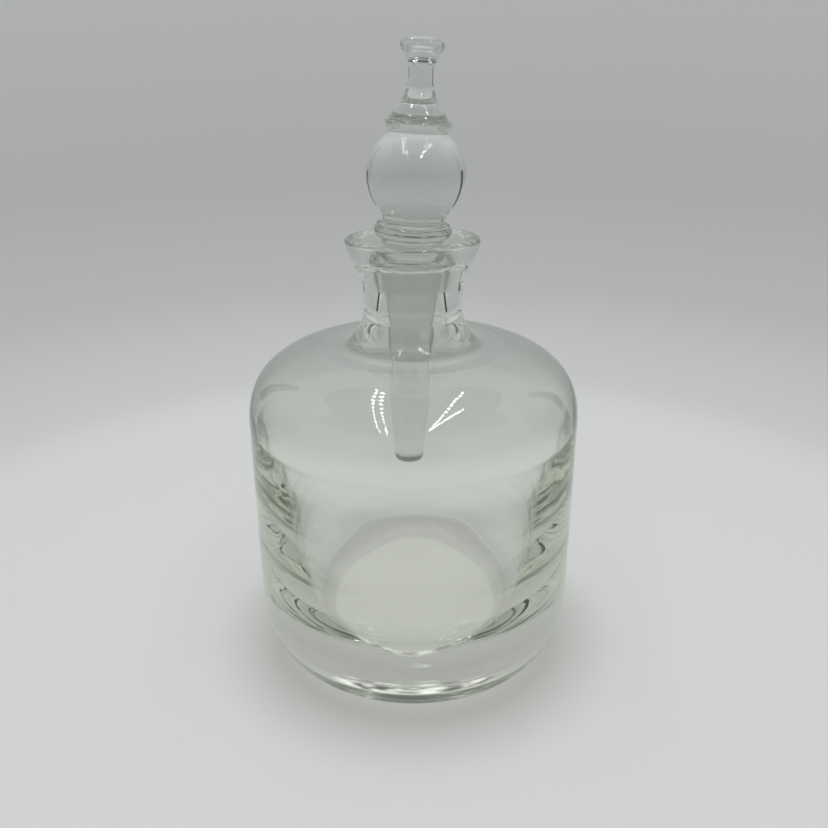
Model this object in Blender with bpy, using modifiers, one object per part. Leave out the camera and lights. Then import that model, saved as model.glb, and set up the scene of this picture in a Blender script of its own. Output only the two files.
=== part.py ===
"""Glass decanter with a solid glass stopper, for Blender 4.5. Metres, +Z up, base centre at the origin."""
import math

import bpy

NAME = "decanter"
MM = 0.001

# Bottle, outside
BODY_R = 58.5 * MM
FOOT_FLAT_R = 33.2 * MM
FOOT_TOP_Z = 29.1 * MM
SHOULDER_START_Z = 91.7 * MM
SHOULDER_END_R = 22.5 * MM
SHOULDER_END_Z = 119.0 * MM
NECK_FOOT_R = 17.3 * MM
NECK_FOOT_Z = 129.0 * MM
NECK_WAIST_R = 16.85 * MM
NECK_WAIST_Z = 132.0 * MM
LIP_R = 22.8 * MM
LIP_TOP_Z = 155.8 * MM
LIP_EDGE = 0.7 * MM
FOOT_EXPONENT = 2.833
SHOULDER_EXPONENT = 2.545

# Bottle, inside
MOUTH_R = 16.9 * MM
LEDGE_R = 15.0 * MM
LEDGE_Z = 148.9 * MM
SEAT_TOP_R = 10.75 * MM
SEAT_TOP_Z = 148.2 * MM
SEAT_BOTTOM_R = 9.75 * MM
SEAT_BOTTOM_Z = 140.0 * MM
BORE_R = 11.2 * MM
BORE_END_Z = 127.7 * MM
SHOULDER_WALL = 2.3 * MM
FLOOR_Z = 6.9 * MM
FLOOR_R = 36.2 * MM
WALL_FOOT_R = 41.6 * MM
WALL_FOOT_Z = 12.2 * MM
INNER_SHOULDER_EXPONENT = 2.62

# Stopper, on its own straight axis
BALL_R = 16.4 * MM
BALL_Z = 175.8 * MM
COLLAR_R = 10.9 * MM
COLLAR_Z = 192.1 * MM
COLLAR_FOOT_R = 9.6 * MM
RING_R = 12.9 * MM
RING_Z = 158.4 * MM
RING_HALF_HEIGHT = 2.4 * MM
SMALL_RING_R = 10.3 * MM
SMALL_RING_Z = 154.6 * MM
SMALL_RING_HALF_HEIGHT = 0.9 * MM
COVE_R = 10.5 * MM
STEM_R = 4.05 * MM
STEM_Z = 206.5 * MM
KNOB_R = 7.0 * MM
KNOB_EDGE_Z = 214.6 * MM
TOP_Z = 217.1 * MM
PLUG_GAP = 0.65 * MM
FLANGE_R = 14.5 * MM
FLANGE_Z = 150.3 * MM
DABBER_TOP_R = 8.2 * MM
DABBER_TOP_Z = 136.4 * MM
DABBER_WAIST_R = 6.3 * MM
DABBER_WAIST_Z = 114.0 * MM
DABBER_BULGE_R = 6.9 * MM
DABBER_BULGE_Z = 104.0 * MM
TIP_R = 5.4 * MM
TIP_Z = 73.2 * MM
TIP_ROUND = 2.0 * MM

# The drawn stopper isn't quite straight: the plug leans a little, and the head leans more.
PLUG_LEAN = math.radians(1.2)
HEAD_LEAN = math.radians(3.3)
BEND_LOW_Z = 150.0 * MM
BEND_HIGH_Z = 158.0 * MM
BEND_LOW_X = -0.14 * MM

BOTTLE_STEPS = 40
STOPPER_STEPS = 28
SHARP_ANGLE = math.radians(30)


def clear_scene():
    for obj in list(bpy.data.objects):
        bpy.data.objects.remove(obj)


def make_collection():
    collection = bpy.data.collections.new(NAME)
    bpy.context.scene.collection.children.link(collection)
    return collection


def glass(name, colour, roughness):
    material = bpy.data.materials.new(name)
    material.use_nodes = True
    shader = material.node_tree.nodes["Principled BSDF"]
    shader.inputs["Base Color"].default_value = (*colour, 1.0)
    shader.inputs["Roughness"].default_value = roughness
    shader.inputs["Metallic"].default_value = 0.0
    shader.inputs["Transmission Weight"].default_value = 1.0
    shader.inputs["IOR"].default_value = 1.51
    return material


def bottle_glass():
    return glass("bottle_glass", (0.93, 0.96, 0.94), 0.02)


def stopper_glass():
    return glass("stopper_glass", (0.94, 0.96, 0.95), 0.05)


def quarter_curve(upright, level, exponent, count):
    """Points from upright, where the outline is vertical, to level, where it is horizontal."""
    points = []
    for i in range(count + 1):
        angle = math.pi / 2 * i / count
        across = max(math.cos(angle), 0.0) ** (2 / exponent)
        up = max(math.sin(angle), 0.0) ** (2 / exponent)
        radius = level[0] + (upright[0] - level[0]) * across
        height = upright[1] + (level[1] - upright[1]) * up
        points.append((radius, height))
    return points


def smooth_curve(points, count):
    """A Catmull-Rom curve through points, with count steps between each two."""
    first = (2 * points[0][0] - points[1][0], 2 * points[0][1] - points[1][1])
    last = (2 * points[-1][0] - points[-2][0], 2 * points[-1][1] - points[-2][1])
    path = [first, *points, last]
    result = []
    for before, start, end, after in zip(path, path[1:], path[2:], path[3:]):
        for i in range(count):
            t = i / count
            result.append(tuple(
                start[k] + 0.5 * t * (end[k] - before[k]
                + t * (2 * before[k] - 5 * start[k] + 4 * end[k] - after[k]
                + t * (3 * (start[k] - end[k]) + after[k] - before[k])))
                for k in (0, 1)
            ))
    return [*result, points[-1]]


def bead(centre, half_width, half_height, spread, count):
    """The outer side of a bead, top to bottom, as an arc of an ellipse."""
    points = []
    for i in range(count + 1):
        angle = spread * (1 - 2 * i / count)
        radius = centre[0] + half_width * math.cos(angle)
        points.append((radius, centre[1] + half_height * math.sin(angle)))
    return points


def without_doubles(points, gap=0.05 * MM):
    kept = [points[0]]
    for point in points[1:]:
        if math.dist(point, kept[-1]) > gap:
            kept.append(point)
    return kept


def turned(name, profile, steps, collection):
    """A solid turned about Z from a profile that runs from the axis down its outer side to the axis."""
    points = without_doubles(profile)
    mesh = bpy.data.meshes.new(name)
    vertices = [(radius, 0.0, height) for radius, height in points]
    mesh.from_pydata(vertices, [(i, i + 1) for i in range(len(points) - 1)], [])
    obj = bpy.data.objects.new(name, mesh)
    collection.objects.link(obj)
    screw = obj.modifiers.new("turn", "SCREW")
    screw.axis = "Z"
    screw.angle = math.tau
    screw.steps = steps
    screw.render_steps = steps
    screw.use_merge_vertices = True
    screw.merge_threshold = 0.00001
    bpy.context.view_layer.update()
    solid = bpy.data.meshes.new_from_object(obj.evaluated_get(bpy.context.evaluated_depsgraph_get()))
    solid.shade_smooth()
    solid.set_sharp_from_angle(angle=SHARP_ANGLE)
    obj.modifiers.clear()
    obj.data = solid
    bpy.data.meshes.remove(mesh)
    solid.name = name
    return obj


def bottle_outside():
    """From the lip's top face down to the centre of the base."""
    lip = [
        (LIP_R - 2 * LIP_EDGE, LIP_TOP_Z),
        (LIP_R - 0.3 * LIP_EDGE, LIP_TOP_Z - 0.3 * LIP_EDGE),
        (LIP_R, LIP_TOP_Z - LIP_EDGE - 0.2 * MM),
    ]
    neck = smooth_curve([
        (LIP_R, LIP_TOP_Z - LIP_EDGE - 0.2 * MM),
        (21.9 * MM, 151.8 * MM),
        (19.8 * MM, 146.8 * MM),
        (17.5 * MM, 140.8 * MM),
        (NECK_WAIST_R, 135.0 * MM),
        (NECK_WAIST_R, NECK_WAIST_Z),
        (NECK_FOOT_R, NECK_FOOT_Z),
    ], 2)
    cove = smooth_curve([
        (NECK_FOOT_R, NECK_FOOT_Z),
        (18.5 * MM, 126.4 * MM),
        (20.2 * MM, 122.4 * MM),
        (SHOULDER_END_R, SHOULDER_END_Z),
    ], 2)
    shoulder = quarter_curve(
        (BODY_R, SHOULDER_START_Z), (SHOULDER_END_R, SHOULDER_END_Z), SHOULDER_EXPONENT, 12
    )
    foot = quarter_curve((BODY_R, FOOT_TOP_Z), (FOOT_FLAT_R, 0.0), FOOT_EXPONENT, 10)
    return lip + neck[1:] + cove[1:] + shoulder[-2::-1] + foot + [(0.0, 0.0)]


def bottle_inside():
    """From the centre of the cavity's floor up the wall to the lip's inner edge."""
    floor = quarter_curve((WALL_FOOT_R, WALL_FOOT_Z), (FLOOR_R, FLOOR_Z), 2.0, 4)
    wall = smooth_curve([
        (WALL_FOOT_R, WALL_FOOT_Z),
        (44.1 * MM, 20.0 * MM),
        (48.1 * MM, 34.0 * MM),
        (51.2 * MM, 52.0 * MM),
        (54.1 * MM, 72.0 * MM),
        (BODY_R - SHOULDER_WALL, SHOULDER_START_Z),
    ], 3)
    shoulder_top = (22.2 * MM, SHOULDER_END_Z - 0.7 * MM)
    shoulder = quarter_curve(
        (BODY_R - SHOULDER_WALL, SHOULDER_START_Z), shoulder_top, INNER_SHOULDER_EXPONENT, 10
    )
    neck_foot = smooth_curve([
        shoulder_top,
        (18.4 * MM, 120.8 * MM),
        (15.6 * MM, 122.9 * MM),
        (13.4 * MM, 124.9 * MM),
        (BORE_R, BORE_END_Z),
    ], 2)
    bore = smooth_curve([
        (BORE_R, BORE_END_Z),
        (10.9 * MM, 132.0 * MM),
        (10.3 * MM, 136.0 * MM),
        (SEAT_BOTTOM_R, SEAT_BOTTOM_Z),
    ], 2)
    seat = [(SEAT_TOP_R, SEAT_TOP_Z), (SEAT_TOP_R + 0.45 * MM, LEDGE_Z - 0.2 * MM)]
    mouth = smooth_curve([
        (LEDGE_R, LEDGE_Z),
        (LEDGE_R + 0.3 * MM, LEDGE_Z + 0.4 * MM),
        (16.3 * MM, 153.0 * MM),
        (MOUTH_R, LIP_TOP_Z - 0.6 * LIP_EDGE),
        (MOUTH_R + LIP_EDGE, LIP_TOP_Z),
    ], 2)
    return [(0.0, FLOOR_Z)] + floor[::-1] + wall[1:] + shoulder[1:] + neck_foot[1:] + bore[1:] + seat + mouth


def make_bottle(collection):
    obj = turned("bottle", bottle_inside() + bottle_outside(), BOTTLE_STEPS, collection)
    obj.data.materials.append(bottle_glass())
    return obj


def stopper_head():
    """From the top of the knob down to the cove under the ball."""
    knob = quarter_curve((KNOB_R, KNOB_EDGE_Z), (0.0, TOP_Z), 2.2, 5)[::-1]
    finial = smooth_curve([
        (KNOB_R, KNOB_EDGE_Z - 0.3 * MM),
        (5.6 * MM, 212.1 * MM),
        (4.7 * MM, 210.2 * MM),
        (STEM_R, 208.2 * MM),
        (STEM_R, STEM_Z - 1.3 * MM),
        (4.57 * MM, 201.7 * MM),
        (6.2 * MM, 197.6 * MM),
        (8.2 * MM, 195.2 * MM),
        (COLLAR_R, COLLAR_Z),
    ], 2)
    top_angle = math.acos(COLLAR_FOOT_R / BALL_R)
    bottom_angle = -math.acos(COVE_R / BALL_R)
    ball = []
    steps = 14
    for i in range(steps + 1):
        angle = top_angle + (bottom_angle - top_angle) * i / steps
        ball.append((BALL_R * math.cos(angle), BALL_Z + BALL_R * math.sin(angle)))
    return knob + finial + [(COLLAR_FOOT_R + 0.2 * MM, COLLAR_Z - 2.2 * MM)] + ball


def stopper_plug():
    """From the rings down through the flange and the ground seat to the end of the dabber."""
    ring = bead((RING_R - 2.0 * MM, RING_Z), 2.0 * MM, RING_HALF_HEIGHT, 1.4, 8)
    small_ring = bead(
        (SMALL_RING_R - 1.1 * MM, SMALL_RING_Z), 1.1 * MM, SMALL_RING_HALF_HEIGHT, 1.2, 5
    )
    flange = smooth_curve([
        (9.4 * MM, SMALL_RING_Z - SMALL_RING_HALF_HEIGHT - 0.2 * MM),
        (10.6 * MM, FLANGE_Z + 1.5 * MM),
        (12.2 * MM, FLANGE_Z + 0.9 * MM),
        (FLANGE_R - 0.5 * MM, FLANGE_Z + 0.5 * MM),
        (FLANGE_R, FLANGE_Z),
        (FLANGE_R - 0.3 * MM, FLANGE_Z - 0.75 * MM),
    ], 2)
    seat = [
        (SEAT_TOP_R - 0.45 * MM, SEAT_TOP_Z + 1.1 * MM),
        (SEAT_TOP_R - PLUG_GAP, SEAT_TOP_Z),
        (SEAT_BOTTOM_R - PLUG_GAP, SEAT_BOTTOM_Z),
    ]
    dabber = smooth_curve([
        (DABBER_TOP_R, DABBER_TOP_Z),
        (7.5 * MM, 125.5 * MM),
        (7.0 * MM, 118.4 * MM),
        (DABBER_WAIST_R, DABBER_WAIST_Z),
        (DABBER_BULGE_R, DABBER_BULGE_Z),
        (6.7 * MM, 95.0 * MM),
        (5.9 * MM, 85.0 * MM),
        (TIP_R, TIP_Z + TIP_ROUND),
    ], 2)
    tip = quarter_curve((TIP_R, TIP_Z + TIP_ROUND), (TIP_R - TIP_ROUND, TIP_Z), 2.0, 3)
    return ring + small_ring + flange + seat + dabber + tip[1:] + [(0.0, TIP_Z)]


def bend_stopper(obj):
    """Leans the plug, leans the head more, and joins the two leans with an arc."""
    length = BEND_HIGH_Z - BEND_LOW_Z
    turn = HEAD_LEAN - PLUG_LEAN
    for vertex in obj.data.vertices:
        height = vertex.co.z - BEND_LOW_Z
        along = min(max(height, 0.0), length)
        past = max(height - length, 0.0)
        lean = PLUG_LEAN + turn * along / length
        shift = PLUG_LEAN * (height - past) + turn * along * along / (2 * length) + HEAD_LEAN * past
        across = vertex.co.x
        vertex.co.x = BEND_LOW_X + shift + across * math.cos(lean)
        vertex.co.z -= across * math.sin(lean)


def make_stopper(collection):
    obj = turned("stopper", stopper_head() + stopper_plug(), STOPPER_STEPS, collection)
    bend_stopper(obj)
    obj.data.materials.append(stopper_glass())
    return obj


clear_scene()
parts = make_collection()
make_bottle(parts)
make_stopper(parts)
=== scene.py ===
"""A clear glass decanter and its stopper on a pale curved stage, under four rows of small lamps."""
import math

import bmesh
import bpy
from mathutils import Matrix, Vector, noise


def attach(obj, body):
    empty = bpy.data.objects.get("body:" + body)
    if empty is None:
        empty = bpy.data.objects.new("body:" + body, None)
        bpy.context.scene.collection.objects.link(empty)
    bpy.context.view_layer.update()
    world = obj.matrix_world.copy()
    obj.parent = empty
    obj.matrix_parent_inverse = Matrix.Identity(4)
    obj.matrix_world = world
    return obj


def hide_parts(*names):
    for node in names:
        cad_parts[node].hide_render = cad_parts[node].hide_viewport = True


MM = 0.001

# Meshes: steps round each turned shape, and the angle from which an edge stays sharp
BOTTLE_STEPS = 256
STOPPER_STEPS = 192
STAGE_STEPS = 96
SHARP_ANGLE = math.radians(25)

# Waves of the inner wall, in millimetres: their depth, the heights they run between and fade over, and
# their sizes along x, y and z
WAVE_DEPTH = 0.13
WAVE_LOW_Z = 12.0
WAVE_LOW_FADE = 12.0
WAVE_HIGH_Z = 117.0
WAVE_FADE_END = 118.0
WAVE_HIGH_FADE = 40.0
BIG_WAVE = (22.0, 22.0, 48.0)
SMALL_WAVE = (9.0, 9.0, 20.0)
SMALL_WAVE_SHARE = 0.2

# Stopper's bend, the same as the CAD stopper's
PLUG_LEAN = math.radians(1.2)
HEAD_LEAN = math.radians(3.3)
BEND_LOW_Z = 150.0 * MM
BEND_HIGH_Z = 158.0 * MM
BEND_LOW_X = -0.14 * MM

# Glass: what a pair of surfaces lets through, and what is absorbed per metre, for red, green and blue
GLASS_IOR = 1.51
BOTTLE_TINT = (0.96, 0.97, 0.95)
BOTTLE_LOSSES = (1.4, 1.1, 1.9)
STOPPER_TINT = (0.93, 0.945, 0.93)
STOPPER_LOSSES = (3.2, 2.8, 3.2)

# Light still inside the glass after this many bounces is taken to be a dim even glow
DEEP_GLOW = (0.15, 0.18, 0.15)
DEEP_BOUNCES = 20

# Ground matt zones as (low, high, radius), and how their edges fade, in millimetres, then their roughness,
# its spread either way, and how white they are
BOTTLE_GROUND = (139.4, 148.2, 11.2)
STOPPER_GROUND = (122.0, 148.2, 20.0)
GROUND_LOW_FADE = 1.2
GROUND_HIGH_FADE = 0.4
GROUND_ROUGHNESS = 0.22
GROUND_SPREAD = 0.1
GROUND_WHITE = 0.06

# Painted shade: a darker glass colour from the shoulder up, but not on the neck: the share of light that
# it lets through, and where it sets in, in metres up and across
SHOULDER_PAINTED_SHADE = 0.85
SHADE_HEIGHTS = (0.092, 0.108)
SHADE_RADII = (0.018, 0.024)

# Unevenness of the surfaces: depths in millimetres, noise features per metre with their stretch, and the
# range that most of the noise lies in
BOTTLE_BUMP = 0.02
STOPPER_BUMP = 0.02
POLISH_SCALE = 140.0
POLISH_STRETCH = (1.0, 1.0, 0.6)
GRINDING_DEPTH = 0.0012
GRINDING_SCALE = 100.0
GRINDING_STRETCH = (1.0, 1.0, 14.0)
GRINDING_NOISE = (0.3, 0.7)

# Stage, in metres: the radii of the flat floor and of the wall, the wall's top, and how far the floor lies
# under the glass. The floor curves up into the wall in BEND_STEPS steps.
FLOOR_RADIUS = 0.24
WALL_RADIUS = 0.50
WALL_TOP = 0.75
STAGE_DROP = 0.02 * MM
BEND_STEPS = 24

# Stage's open front: half its width, the angle over which the wall rises, and how far the floor spreads
OPEN_ANGLE = math.radians(60)
OPEN_FADE = math.radians(25)
OPEN_SPREAD = 3

# Paper's colour, and its glow, which is painted light, as (position, brightness) stops by height, as a share
# of the height set below, in metres
PAPER_COLOUR = (0.45, 0.45, 0.45, 1.0)
PAINTED_LIGHT_HEIGHT = 0.55
PAPER_PAINTED_LIGHT = (
    (0.0, 0.425), (0.01, 0.35), (0.041, 0.31), (0.082, 0.25), (0.22, 0.193), (0.48, 0.225), (1.0, 0.20),
)
PAPER_LIGHT_TINT = (0.967, 1.0, 0.985)

# Paper's colour and glow under the glass, by radius, as a share of the radius set below, in metres, and the
# radii over which they give way to those above. The colour is nearly black, so that the glow, which is
# painted light, sets the tone: bright for light come through the glass, with a painted contact shadow
# round the foot
FOOT_COLOUR = (0.05, 0.05, 0.05, 1.0)
PAINTED_LIGHT_RADIUS = 0.1
FOOT_PAINTED_LIGHT = (
    (0.0, 0.565), (0.355, 0.565), (0.368, 0.485), (0.44, 0.46),
    (0.48, 0.43), (0.54, 0.37), (0.60, 0.385), (1.0, 0.42),
)
FOOT_LIGHT_TINT = (1.0, 1.02, 0.965)
FOOT_EDGE = (0.045, 0.085)

# Gain of the side walls' glow, which is painted light, low down and high up, and in metres the heights over
# which it changes and the distances to the side over which it sets in
SIDE_LOW_GAIN = 0.9
SIDE_GAIN = 1.6
SIDE_HEIGHTS = (0.18, 0.30)
SIDE_X = (0.37, 0.47)

# Flecks of focused light under the front of the base: noise features per metre, the noise at the darkest
# and the brightest of them, the gains there, and in metres where they set in and where they are full
FLECK_SCALE = 105.0
FLECK_NOISE = (0.36, 0.64)
FLECK_GAINS = (-0.7, 1.2)
FLECK_INNER = (0.033, 0.036)
FLECK_OUTER = (0.046, 0.043)
FLECK_Y = (-0.024, -0.032)
FLECK_X = (0.031, 0.024)

# Sky: brightness by the sine of the angle up, and the share of it that is left towards FRONT_WAY, which
# fades out between the FRONT_ANGLES from there, in degrees
WORLD_TINT = (0.975, 1.0, 0.985)
WORLD_GLOW = ((0.0, 0.36), (0.14, 0.48), (0.5, 0.55), (0.72, 0.12), (1.0, 0.10))
FRONT_WAY = (0.0, -1.0, 0.25)
FRONT_ANGLES = (12, 30)
FRONT_SHARE = 0.5

# Rows of small lamps overhead, as (x, y) points that each row runs through, in metres, and the size in
# metres and power in watts of one lamp
LAMP_HEIGHT = 0.45
LAMP_ROWS = (
    ((-0.071, 0.185), (-0.163, -0.332)),
    ((-0.056, 0.187), (-0.130, -0.369)),
    ((0.071, -0.311), (0.092, -0.065), (0.104, 0.143)),
    ((0.071, -0.311), (0.110, -0.155), (0.138, -0.042)),
)
LAMPS_IN_ROW = 14
LAMP_SIZE = 0.008
LAMP_POWER = 0.012

# Dark cards beside the glass, by their middles as (x, y) in metres, which give it dark edge lines
CARDS = ((-0.360, 0.270), (0.404, 0.197))
CARD_WIDTH = 0.062
CARD_HEIGHTS = (0.05, 0.45)

# Camera, with its lengths in millimetres and its place in metres
SENSOR = 36.0
LENS = 36.76
PITCH = math.radians(22.48)
ROLL = math.radians(-0.3)
CAMERA_PLACE = (0.0002, -0.28322, 0.20914)

# Bounces that light is followed for, which a path caught inside the thick glass needs
LIGHT_BOUNCES = 32


# ---------------------------------------------------------------- outlines, in millimetres

def quarter_curve(upright, level, exponent, count):
    """Points from upright, where the outline is vertical, to level, where it is horizontal."""
    points = []
    for i in range(count + 1):
        angle = math.pi / 2 * i / count
        across = max(math.cos(angle), 0.0) ** (2 / exponent)
        up = max(math.sin(angle), 0.0) ** (2 / exponent)
        radius = level[0] + (upright[0] - level[0]) * across
        height = upright[1] + (level[1] - upright[1]) * up
        points.append((radius, height))
    return points


def smooth_curve(points, count):
    """A Catmull-Rom curve through points, with count steps between each two."""
    first = (2 * points[0][0] - points[1][0], 2 * points[0][1] - points[1][1])
    last = (2 * points[-1][0] - points[-2][0], 2 * points[-1][1] - points[-2][1])
    path = [first, *points, last]
    result = []
    for before, start, end, after in zip(path, path[1:], path[2:], path[3:]):
        for i in range(count):
            t = i / count
            result.append(tuple(
                start[k] + 0.5 * t * (end[k] - before[k]
                + t * (2 * before[k] - 5 * start[k] + 4 * end[k] - after[k]
                + t * (3 * (start[k] - end[k]) + after[k] - before[k])))
                for k in (0, 1)
            ))
    return [*result, points[-1]]


def arc(centre, half_width, half_height, start, end, count):
    """Points of an ellipse from the angle start to the angle end, counted from straight outwards."""
    points = []
    for i in range(count + 1):
        angle = start + (end - start) * i / count
        radius = centre[0] + half_width * math.cos(angle)
        points.append((radius, centre[1] + half_height * math.sin(angle)))
    return points


def without_doubles(points, gap=0.02):
    """The points without those that lie within gap of the one before."""
    kept = [points[0]]
    for point in points[1:]:
        if math.dist(point, kept[-1]) > gap:
            kept.append(point)
    return kept


def bottle_outside():
    """From the lip's top face down to the centre of the base."""
    lip = [(17.6, 155.8), (21.4, 155.8)]
    lip_edge = quarter_curve((22.75, 154.9), (21.9, 155.78), 2.0, 5)[::-1]
    neck = smooth_curve([
        (22.75, 154.9), (21.9, 151.8), (19.75, 146.8), (17.5, 140.8),
        (16.85, 135.0), (16.85, 132.0), (17.3, 129.0),
    ], 8)
    cove = smooth_curve([
        (17.3, 129.0), (18.3, 126.4), (19.6, 123.8), (21.4, 121.6),
        (23.8, 120.0), (26.8, 119.2), (31.0, 118.72),
    ], 5)
    shoulder = quarter_curve((58.45, 91.7), (22.5, 119.0), 2.545, 44)
    shoulder = [point for point in shoulder if point[0] > 32.0]
    foot = quarter_curve((58.45, 29.1), (33.2, 0.05), 2.833, 44)
    base = [(32.9, 0.05), (0.0, 0.05)]
    return lip + lip_edge + neck[1:] + cove[1:] + shoulder[::-1] + foot + base


def bottle_inside():
    """From the centre of the cavity's floor up the wall to the lip's inner edge."""
    floor = [(0.0, 6.93), (24.0, 6.93), (35.9, 6.93)]
    floor_edge = quarter_curve((41.4, 12.0), (36.2, 6.93), 1.6, 14)[::-1]
    wall = smooth_curve([
        (41.5, 12.2), (44.1, 20.0), (48.1, 34.0), (51.2, 52.0), (54.1, 72.0), (56.1, 84.0), (57.25, 92.0),
    ], 12)
    shoulder = quarter_curve((57.3, 93.0), (22.2, 118.3), 2.56, 44)
    shoulder = [point for point in shoulder if point[0] > 30.0]
    neck_foot = smooth_curve([
        (29.0, 118.1), (26.2, 118.4), (23.4, 119.1), (20.6, 120.3), (18.0, 121.9),
        (15.6, 123.6), (13.4, 125.3), (11.9, 126.7), (11.2, 127.7),
    ], 6)
    bore = smooth_curve([(11.2, 127.7), (10.9, 132.0), (10.3, 136.0), (9.8, 139.2)], 6)
    seat = [(9.75, 140.0), (10.75, 148.2)]
    ledge = [(11.2, 148.7), (15.0, 148.9)]
    mouth = smooth_curve([
        (15.3, 149.3), (15.6, 150.0), (16.3, 153.0), (16.9, 155.4), (17.6, 155.8),
    ], 6)
    return floor + floor_edge + wall + shoulder + neck_foot + bore[1:] + seat + ledge + mouth


def stopper_head():
    """From the top of the knob down to the cove under the ball."""
    knob = quarter_curve((7.0, 214.8), (0.0, 217.05), 2.2, 12)[::-1]
    finial = smooth_curve([
        (7.0, 214.3), (6.4, 213.0), (5.6, 212.0), (4.9, 210.9), (4.7, 210.2), (4.2, 209.3),
        (4.05, 208.0), (4.05, 205.5), (4.28, 203.4), (4.57, 201.7), (5.27, 199.9),
        (5.9, 198.1), (6.4, 197.3), (7.25, 196.4), (8.66, 194.6), (10.7, 192.4),
    ], 4)
    undercut = smooth_curve([(10.9, 192.0), (10.5, 191.2), (9.75, 189.6), (9.6, 189.1)], 4)
    ball_r = 16.4
    ball = arc((0.0, 175.8), ball_r, ball_r, math.acos(9.6 / ball_r), -math.acos(10.7 / ball_r), 48)
    return knob + finial + undercut + ball


def stopper_plug():
    """From the rings down through the ground seat to the end of the dabber."""
    cove = smooth_curve([(10.5, 162.6), (10.4, 161.6), (10.9, 161.0)], 4)
    ring = arc((11.0, 158.4), 2.0, 2.4, 1.45, -1.45, 16)
    groove = smooth_curve([(10.3, 155.9), (9.5, 155.5)], 3)
    small_ring = arc((9.2, 154.6), 1.1, 0.9, 1.3, -1.3, 10)
    flange = smooth_curve([
        (9.4, 153.6), (9.6, 152.9), (10.6, 151.8), (12.2, 151.2), (13.8, 150.9), (14.5, 150.4),
        (14.2, 149.6),
    ], 6)
    seat = [(10.3, 149.3), (10.1, 148.2), (9.1, 140.0)]
    shoulder = smooth_curve([(9.0, 139.8), (8.3, 136.8), (8.2, 136.2)], 4)
    dabber = smooth_curve([
        (8.2, 135.6), (7.56, 126.0), (7.0, 118.0), (6.3, 114.0), (6.6, 110.0), (6.9, 105.0),
        (6.75, 95.0), (5.9, 85.0), (5.4, 76.5),
    ], 6)
    tip = quarter_curve((5.3, 75.2), (3.4, 73.2), 2.0, 6)
    end = [(1.7, 73.2), (0.0, 73.2)]
    return cove + ring + groove + small_ring + flange + seat + shoulder + dabber + tip + end


# ---------------------------------------------------------------- geometry

def turned(name, profile, steps):
    """A smooth shape turned about Z from a profile in millimetres, solid if it ends on the axis."""
    form = bmesh.new()
    rings = []
    for radius, height in without_doubles(profile):
        if radius < 0.001:
            rings.append([form.verts.new((0.0, 0.0, height * MM))])
            continue
        ring = []
        for i in range(steps):
            angle = math.tau * i / steps
            ring.append(form.verts.new(
                (radius * MM * math.cos(angle), radius * MM * math.sin(angle), height * MM)
            ))
        rings.append(ring)
    for upper, lower in zip(rings, rings[1:]):
        for i in range(steps):
            j = (i + 1) % steps
            corners = [upper[i % len(upper)], lower[i % len(lower)]]
            if len(lower) > 1:
                corners.append(lower[j])
            if len(upper) > 1:
                corners.append(upper[j])
            form.faces.new(corners)
    bmesh.ops.recalc_face_normals(form, faces=form.faces)
    mesh = bpy.data.meshes.new(name)
    form.to_mesh(mesh)
    form.free()
    mesh.shade_smooth()
    mesh.set_sharp_from_angle(angle=SHARP_ANGLE)
    obj = bpy.data.objects.new(name, mesh)
    bpy.context.scene.collection.objects.link(obj)
    return obj


def ripple_cavity(obj):
    """Gives the blown inner wall its faint waves, which fade out towards the thin shoulder and the floor."""
    wall = [
        vertex for vertex in obj.data.vertices
        if WAVE_LOW_Z < vertex.co.z / MM < WAVE_HIGH_Z and vertex.normal.xy.dot(vertex.co.xy) < 0.0
    ]
    for vertex in wall:
        x, y, z = vertex.co / MM
        size = min((z - WAVE_LOW_Z) / WAVE_LOW_FADE, (WAVE_FADE_END - z) / WAVE_HIGH_FADE, 1.0)
        wave = noise.noise(Vector((x / BIG_WAVE[0], y / BIG_WAVE[1], z / BIG_WAVE[2])))
        small = noise.noise(Vector((x / SMALL_WAVE[0], y / SMALL_WAVE[1], z / SMALL_WAVE[2])))
        wave += SMALL_WAVE_SHARE * small
        move = WAVE_DEPTH * size * wave / math.hypot(x, y)
        vertex.co.x += x * move * MM
        vertex.co.y += y * move * MM


def bend_stopper(obj):
    """Leans the plug, leans the head more, and joins the two leans with an arc."""
    length = BEND_HIGH_Z - BEND_LOW_Z
    turn = HEAD_LEAN - PLUG_LEAN
    for vertex in obj.data.vertices:
        height = vertex.co.z - BEND_LOW_Z
        along = min(max(height, 0.0), length)
        past = max(height - length, 0.0)
        lean = PLUG_LEAN + turn * along / length
        shift = PLUG_LEAN * (height - past) + turn * along * along / (2 * length) + HEAD_LEAN * past
        across = vertex.co.x
        vertex.co.x = BEND_LOW_X + shift + across * math.cos(lean)
        vertex.co.z -= across * math.sin(lean)


# ---------------------------------------------------------------- materials

def feed(tree, socket, value):
    """Links value into socket if it is a socket, or sets it if it is a number."""
    if isinstance(value, bpy.types.NodeSocket):
        tree.links.new(value, socket)
    else:
        socket.default_value = value


def calculate(tree, operation, first, second=0.0):
    """A maths node's result for first and second, each a socket or a number."""
    node = tree.nodes.new("ShaderNodeMath")
    node.operation = operation
    feed(tree, node.inputs[0], first)
    feed(tree, node.inputs[1], second)
    return node.outputs[0]


def remap(tree, value, start, end, low=0.0, high=1.0):
    """Turns start to end of value smoothly into low to high."""
    node = tree.nodes.new("ShaderNodeMapRange")
    node.interpolation_type = "SMOOTHSTEP"
    node.inputs["From Min"].default_value = start
    node.inputs["From Max"].default_value = end
    node.inputs["To Min"].default_value = low
    node.inputs["To Max"].default_value = high
    feed(tree, node.inputs["Value"], value)
    return node.outputs[0]


def mix_colours(tree, factor, first, second):
    """A mix of two colours: first where factor is 0, second where it is 1."""
    node = tree.nodes.new("ShaderNodeMix")
    node.data_type = "RGBA"
    feed(tree, node.inputs[0], factor)
    feed(tree, node.inputs[6], first)
    feed(tree, node.inputs[7], second)
    return node.outputs[2]


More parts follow.
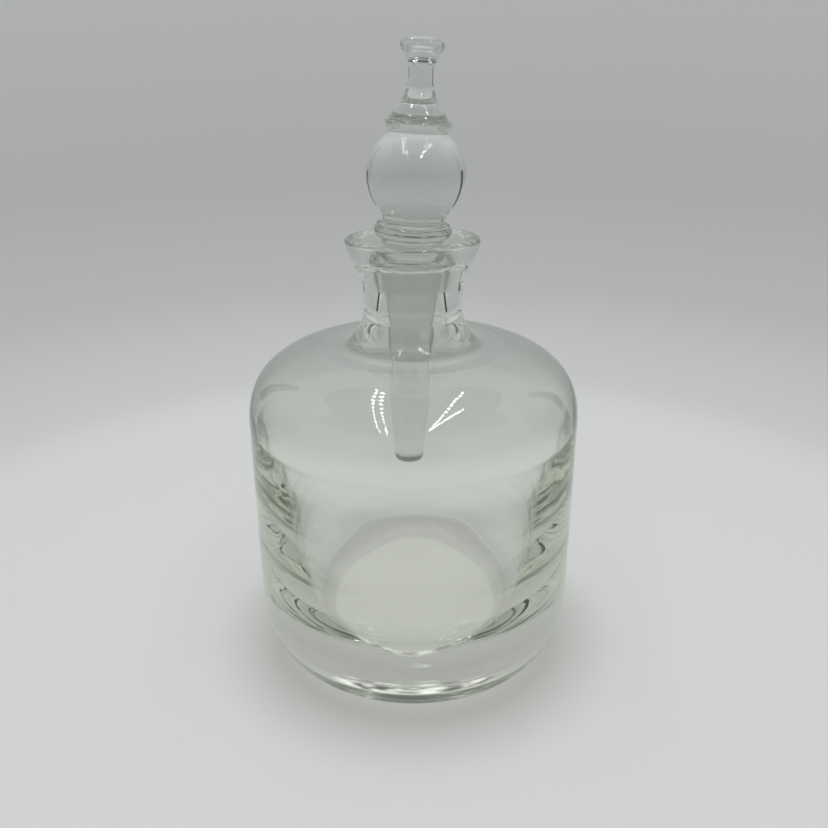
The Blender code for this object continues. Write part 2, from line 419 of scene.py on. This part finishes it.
def places(tree):
    """An object's own coordinates, their x, y and z, and the distance from its Z axis."""
    place = tree.nodes.new("ShaderNodeTexCoord").outputs["Object"]
    split = tree.nodes.new("ShaderNodeSeparateXYZ")
    tree.links.new(place, split.inputs[0])
    x, y, z = split.outputs
    x_square = calculate(tree, "MULTIPLY", x, x)
    y_square = calculate(tree, "MULTIPLY", y, y)
    squares = calculate(tree, "ADD", x_square, y_square)
    return place, x, y, z, calculate(tree, "SQRT", squares)


def noise_texture(tree, place, scale, stretch=(1.0, 1.0, 1.0), detail=2.0):
    """Noise with about scale features a metre, times stretch along each axis. It runs from 0 to 1."""
    mapping = tree.nodes.new("ShaderNodeVectorMath")
    mapping.operation = "MULTIPLY"
    mapping.inputs[1].default_value = stretch
    tree.links.new(place, mapping.inputs[0])
    texture = tree.nodes.new("ShaderNodeTexNoise")
    texture.inputs["Scale"].default_value = scale
    texture.inputs["Detail"].default_value = detail
    tree.links.new(mapping.outputs[0], texture.inputs["Vector"])
    return texture.outputs[0]


def ramp_colour(tree, value, stops, tint):
    """A ramp through (position, brightness) stops, in the colour tint."""
    node = tree.nodes.new("ShaderNodeValToRGB")
    elements = node.color_ramp.elements
    for element, (position, level) in zip(elements, (stops[0], stops[-1])):
        element.position = position
        element.color = (*(level * share for share in tint), 1.0)
    for position, level in stops[1:-1]:
        elements.new(position).color = (*(level * share for share in tint), 1.0)
    tree.links.new(value, node.inputs[0])
    return node.outputs[0]


def glass_material(name, zone, tint, losses, bump, shoulder_shade=1.0):
    """Clear glass, ground matt between the two heights of zone inside its radius.

    tint is what one pair of surfaces lets through, and losses what is absorbed per metre. bump is the
    depth of the surface's fire-polished unevenness, in millimetres. The last argument is the share of
    light that the shoulder lets through, a painted shade that darkens it.
    """
    low, high, reach = zone
    material = bpy.data.materials.new(name)
    material.use_nodes = True
    tree = material.node_tree
    shader = tree.nodes["Principled BSDF"]
    output = tree.nodes["Material Output"]
    shader.inputs["IOR"].default_value = GLASS_IOR
    absorb = tree.nodes.new("ShaderNodeVolumeAbsorption")
    density = 2 * max(losses)
    absorb.inputs["Color"].default_value = (*(1 - loss / density for loss in losses), 1.0)
    absorb.inputs["Density"].default_value = density
    tree.links.new(absorb.outputs[0], output.inputs["Volume"])
    place, _x, _y, height, radius = places(tree)
    # Painted shade: the glass colour is darker from the shoulder up, but not on the neck
    shade_mask = remap(tree, height, *SHADE_HEIGHTS)
    shade_mask = calculate(tree, "MULTIPLY", shade_mask, remap(tree, radius, *SHADE_RADII))
    shade_tint = (*(shoulder_shade * share for share in tint), 1.0)
    tree.links.new(mix_colours(tree, shade_mask, (*tint, 1.0), shade_tint), shader.inputs["Base Color"])
    above = remap(tree, height, low * MM, (low + GROUND_LOW_FADE) * MM)
    below = remap(tree, height, (high + GROUND_HIGH_FADE) * MM, (high - GROUND_HIGH_FADE) * MM)
    inside = calculate(tree, "LESS_THAN", radius, reach * MM)
    ground = calculate(tree, "MULTIPLY", calculate(tree, "MULTIPLY", above, below), inside)
    whitened = calculate(tree, "MULTIPLY", ground, GROUND_WHITE)
    tree.links.new(calculate(tree, "SUBTRACT", 1.0, whitened), shader.inputs["Transmission Weight"])
    streaks = noise_texture(tree, place, GRINDING_SCALE, GRINDING_STRETCH, 3.0)
    smoother = GROUND_ROUGHNESS * (1 - GROUND_SPREAD)
    rougher = GROUND_ROUGHNESS * (1 + GROUND_SPREAD)
    uneven = remap(tree, streaks, *GRINDING_NOISE, smoother, rougher)
    tree.links.new(calculate(tree, "MULTIPLY", ground, uneven), shader.inputs["Roughness"])
    polish = noise_texture(tree, place, POLISH_SCALE, POLISH_STRETCH)
    grinding = calculate(tree, "MULTIPLY", streaks, ground)
    grinding = calculate(tree, "MULTIPLY", grinding, GRINDING_DEPTH / bump)
    relief = tree.nodes.new("ShaderNodeBump")
    relief.inputs["Distance"].default_value = bump * MM
    tree.links.new(calculate(tree, "ADD", polish, grinding), relief.inputs["Height"])
    tree.links.new(relief.outputs[0], shader.inputs["Normal"])
    deep = tree.nodes.new("ShaderNodeEmission")
    deep.inputs["Color"].default_value = (*DEEP_GLOW, 1.0)
    path = tree.nodes.new("ShaderNodeLightPath")
    late = calculate(tree, "GREATER_THAN", path.outputs["Ray Depth"], DEEP_BOUNCES)
    both = tree.nodes.new("ShaderNodeMixShader")
    tree.links.new(late, both.inputs[0])
    tree.links.new(shader.outputs[0], both.inputs[1])
    tree.links.new(deep.outputs[0], both.inputs[2])
    tree.links.new(both.outputs[0], output.inputs["Surface"])
    return material


def paper_material():
    """Pale paper that glows with painted light, as a lit tent's floor and walls do, most under the glass."""
    material = bpy.data.materials.new("paper")
    material.use_nodes = True
    tree = material.node_tree
    shader = tree.nodes["Principled BSDF"]
    shader.inputs["Roughness"].default_value = 0.9
    shader.inputs["Specular IOR Level"].default_value = 0.1
    place, x, y, height, radius = places(tree)
    # Under the glass the paper is nearly black, so that its tone there is painted light
    outside = remap(tree, radius, *FOOT_EDGE)
    colour = mix_colours(tree, outside, FOOT_COLOUR, PAPER_COLOUR)
    tree.links.new(colour, shader.inputs["Base Color"])
    # Painted light: the glow by height, and under the glass by radius with a painted contact shadow
    wall = ramp_colour(tree, calculate(tree, "DIVIDE", height, PAINTED_LIGHT_HEIGHT), PAPER_PAINTED_LIGHT, PAPER_LIGHT_TINT)
    foot = ramp_colour(tree, calculate(tree, "DIVIDE", radius, PAINTED_LIGHT_RADIUS), FOOT_PAINTED_LIGHT, FOOT_LIGHT_TINT)
    painted_light = mix_colours(tree, outside, foot, wall)
    sideways = calculate(tree, "ABSOLUTE", x)
    # Painted light: the side walls glow dimmer low down and brighter high up
    gain = remap(tree, height, *SIDE_HEIGHTS, SIDE_LOW_GAIN - 1.0, SIDE_GAIN - 1.0)
    side = calculate(tree, "MULTIPLY", gain, remap(tree, sideways, *SIDE_X))
    flecks = noise_texture(tree, place, FLECK_SCALE)
    band = calculate(tree, "MULTIPLY", remap(tree, radius, *FLECK_INNER), remap(tree, radius, *FLECK_OUTER))
    band = calculate(tree, "MULTIPLY", band, remap(tree, y, *FLECK_Y))
    band = calculate(tree, "MULTIPLY", band, remap(tree, sideways, *FLECK_X))
    focus = calculate(tree, "MULTIPLY", remap(tree, flecks, *FLECK_NOISE, *FLECK_GAINS), band)
    strength = calculate(tree, "ADD", calculate(tree, "ADD", side, focus), 1.0)
    tree.links.new(strength, shader.inputs["Emission Strength"])
    tree.links.new(painted_light, shader.inputs["Emission Color"])
    return material


# ---------------------------------------------------------------- stage, light, camera

def make_stage():
    """A round floor whose edge curves up into a wall, opened flat on the camera's side."""
    bend = WALL_RADIUS - FLOOR_RADIUS
    profile = [(0.0, 0.0), (50.0, 0.0), (150.0, 0.0)]
    for i in range(BEND_STEPS + 1):
        angle = math.pi / 2 * i / BEND_STEPS
        radius = FLOOR_RADIUS + bend * math.sin(angle)
        profile.append((radius / MM, bend * (1 - math.cos(angle)) / MM))
    profile.append((WALL_RADIUS / MM, WALL_TOP / MM))
    stage = turned("stage", profile, STAGE_STEPS)
    for vertex in stage.data.vertices:
        x, y, z = vertex.co
        side = abs(math.atan2(x, -y))
        up = min(max((side - OPEN_ANGLE) / OPEN_FADE, 0.0), 1.0)
        up = up * up * (3 - 2 * up)
        reach = math.hypot(x, y)
        vertex.co.z = z * up
        if reach > FLOOR_RADIUS:
            stretch = 1 + (1 - up) * (reach - FLOOR_RADIUS) / bend * OPEN_SPREAD
            vertex.co.x = x * stretch
            vertex.co.y = y * stretch
    stage.location.z = -STAGE_DROP
    stage.data.materials.append(paper_material())


def along(path, share):
    """The point at a share of the length of a path of straight runs."""
    lengths = [math.dist(*run) for run in zip(path, path[1:])]
    rest = share * sum(lengths)
    for (start, end), length in zip(zip(path, path[1:]), lengths):
        if rest <= length + 1e-9:
            break
        rest -= length
    return tuple(a + (b - a) * rest / length for a, b in zip(start, end))


def make_lamps():
    """Rows of small bright lamps overhead, two on each side."""
    lamp = bpy.data.lights.new("lamp", "AREA")
    lamp.energy = LAMP_POWER
    lamp.size = LAMP_SIZE
    for row in LAMP_ROWS:
        for i in range(LAMPS_IN_ROW):
            obj = bpy.data.objects.new("lamp", lamp)
            obj.location = (*along(row, i / (LAMPS_IN_ROW - 1)), LAMP_HEIGHT)
            bpy.context.scene.collection.objects.link(obj)


def make_cards():
    """Two narrow dark cards that only the glass shows, by refraction and reflection."""
    material = bpy.data.materials.new("dark_card")
    material.use_nodes = True
    shader = material.node_tree.nodes["Principled BSDF"]
    shader.inputs["Base Color"].default_value = (0.01, 0.01, 0.01, 1.0)
    shader.inputs["Specular IOR Level"].default_value = 0.0
    low, high = CARD_HEIGHTS
    for x, y in CARDS:
        across = Vector((-y, x)).normalized() * CARD_WIDTH / 2
        corners = [
            (x + side * across.x, y + side * across.y, z)
            for side, z in ((-1, low), (1, low), (1, high), (-1, high))
        ]
        mesh = bpy.data.meshes.new("card")
        mesh.from_pydata(corners, [], [(0, 1, 2, 3)])
        mesh.materials.append(material)
        card = bpy.data.objects.new("card", mesh)
        card.visible_camera = False
        card.visible_diffuse = False
        card.visible_shadow = False
        bpy.context.scene.collection.objects.link(card)


def make_world():
    """A pale sky, brightest half way up, dark overhead and dimmer in front."""
    world = bpy.data.worlds.new("world")
    bpy.context.scene.world = world
    world.use_nodes = True
    tree = world.node_tree
    sky = tree.nodes["Background"]
    sky.inputs["Color"].default_value = (*WORLD_TINT, 1.0)
    place = tree.nodes.new("ShaderNodeTexCoord").outputs["Generated"]
    split = tree.nodes.new("ShaderNodeSeparateXYZ")
    tree.links.new(place, split.inputs[0])
    up = ramp_colour(tree, split.outputs[2], WORLD_GLOW, (1.0, 1.0, 1.0))
    toward = tree.nodes.new("ShaderNodeVectorMath")
    toward.operation = "DOT_PRODUCT"
    toward.inputs[1].default_value = Vector(FRONT_WAY).normalized()
    tree.links.new(place, toward.inputs[0])
    near, far = (math.cos(math.radians(angle)) for angle in FRONT_ANGLES)
    opening = remap(tree, toward.outputs["Value"], near, far, FRONT_SHARE, 1.0)
    tree.links.new(calculate(tree, "MULTIPLY", up, opening), sky.inputs["Strength"])


def make_camera():
    data = bpy.data.cameras.new("camera")
    data.sensor_width = SENSOR
    data.lens = LENS
    camera = bpy.data.objects.new("camera", data)
    turn = Matrix.Rotation(math.pi / 2 - PITCH, 4, "X") @ Matrix.Rotation(ROLL, 4, "Z")
    camera.matrix_world = Matrix.Translation(CAMERA_PLACE) @ turn
    bpy.context.scene.collection.objects.link(camera)
    bpy.context.scene.camera = camera


def set_picture():
    scene = bpy.context.scene
    scene.cycles.max_bounces = LIGHT_BOUNCES
    scene.cycles.transmission_bounces = LIGHT_BOUNCES
    scene.cycles.glossy_bounces = LIGHT_BOUNCES
    scene.cycles.use_denoising = True
    scene.view_settings.view_transform = "Standard"
    scene.view_settings.exposure = 0.0


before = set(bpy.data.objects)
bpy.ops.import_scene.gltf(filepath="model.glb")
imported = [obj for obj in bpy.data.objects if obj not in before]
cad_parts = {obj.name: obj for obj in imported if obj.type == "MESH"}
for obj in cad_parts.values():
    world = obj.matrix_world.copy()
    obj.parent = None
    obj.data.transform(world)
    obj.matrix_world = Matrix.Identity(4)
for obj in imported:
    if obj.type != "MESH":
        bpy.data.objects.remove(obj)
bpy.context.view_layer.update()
bottle = turned("clear_bottle", bottle_inside() + bottle_outside(), BOTTLE_STEPS)
ripple_cavity(bottle)
bottle.data.materials.append(glass_material(
    "bottle_glass", BOTTLE_GROUND, BOTTLE_TINT, BOTTLE_LOSSES, BOTTLE_BUMP, SHOULDER_PAINTED_SHADE
))
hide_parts("bottle")
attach(bottle, "bottle")
stopper = turned("clear_stopper", stopper_head() + stopper_plug(), STOPPER_STEPS)
bend_stopper(stopper)
stopper.data.materials.append(glass_material(
    "stopper_glass", STOPPER_GROUND, STOPPER_TINT, STOPPER_LOSSES, STOPPER_BUMP
))
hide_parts("stopper")
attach(stopper, "stopper")
make_stage()
make_lamps()
make_cards()
make_world()
make_camera()
set_picture()
